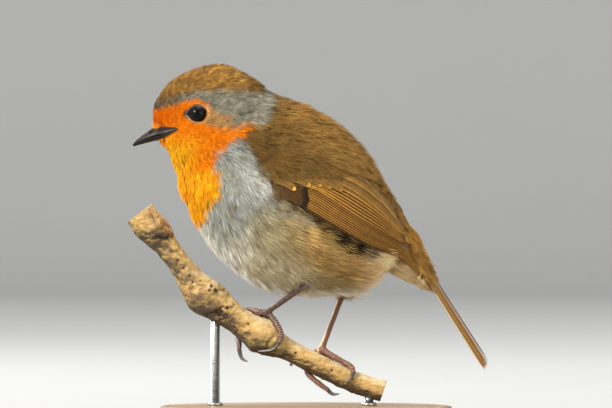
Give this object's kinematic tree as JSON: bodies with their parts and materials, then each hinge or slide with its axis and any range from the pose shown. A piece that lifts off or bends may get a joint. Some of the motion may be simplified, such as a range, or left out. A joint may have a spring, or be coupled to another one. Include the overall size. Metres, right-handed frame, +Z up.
{
  "type": "european robin model on a perch",
  "caption": "Life-size still model of a European robin gripping a cut length of branch, held over a flat round base by short rods.",
  "frame": {"origin": "centre of the stand's underside, on the surface it stands on", "axes": "+X from bill to tail, +Y to the bird's right, +Z up"},
  "size_m": [0.1132, 0.092, 0.113],
  "materials": {
    "plumage": "soft overlapping feathers: olive brown above, orange face and breast, blue-grey edging, white and buff below",
    "leg_skin": "thin dark brown scaled skin, satin",
    "claw_horn": "smooth grey horn",
    "bill_horn": "smooth blackish horn with a soft shine",
    "eye": "wet, glossy, very dark brown",
    "bark": "pale tan bark with dots and joint rings",
    "base_wood": "turned light brown wood, satin",
    "rod_steel": "brushed steel rod"
  },
  "bodies": {
    "root": {"head": "plumage", "neck": "plumage", "trunk": "plumage", "tail": "plumage", "wing_left": "plumage", "wing_right": "plumage", "thigh_left": "plumage", "thigh_right": "plumage", "tarsus_left": "leg_skin", "tarsus_right": "leg_skin", "toe_hallux_left": "leg_skin", "toe_inner_left": "leg_skin", "toe_middle_left": "leg_skin", "toe_outer_left": "leg_skin", "toe_hallux_right": "leg_skin", "toe_inner_right": "leg_skin", "toe_middle_right": "leg_skin", "toe_outer_right": "leg_skin", "claw_hallux_left": "claw_horn", "claw_inner_left": "claw_horn", "claw_middle_left": "claw_horn", "claw_outer_left": "claw_horn", "claw_hallux_right": "claw_horn", "claw_inner_right": "claw_horn", "claw_middle_right": "claw_horn", "claw_outer_right": "claw_horn", "bill_upper": "bill_horn", "bill_lower": "bill_horn", "eye_left": "eye", "eye_right": "eye", "perch": "bark", "stand_base": "base_wood", "stand_rod_left": "rod_steel", "stand_rod_right": "rod_steel"}
  },
  "joints": []
}
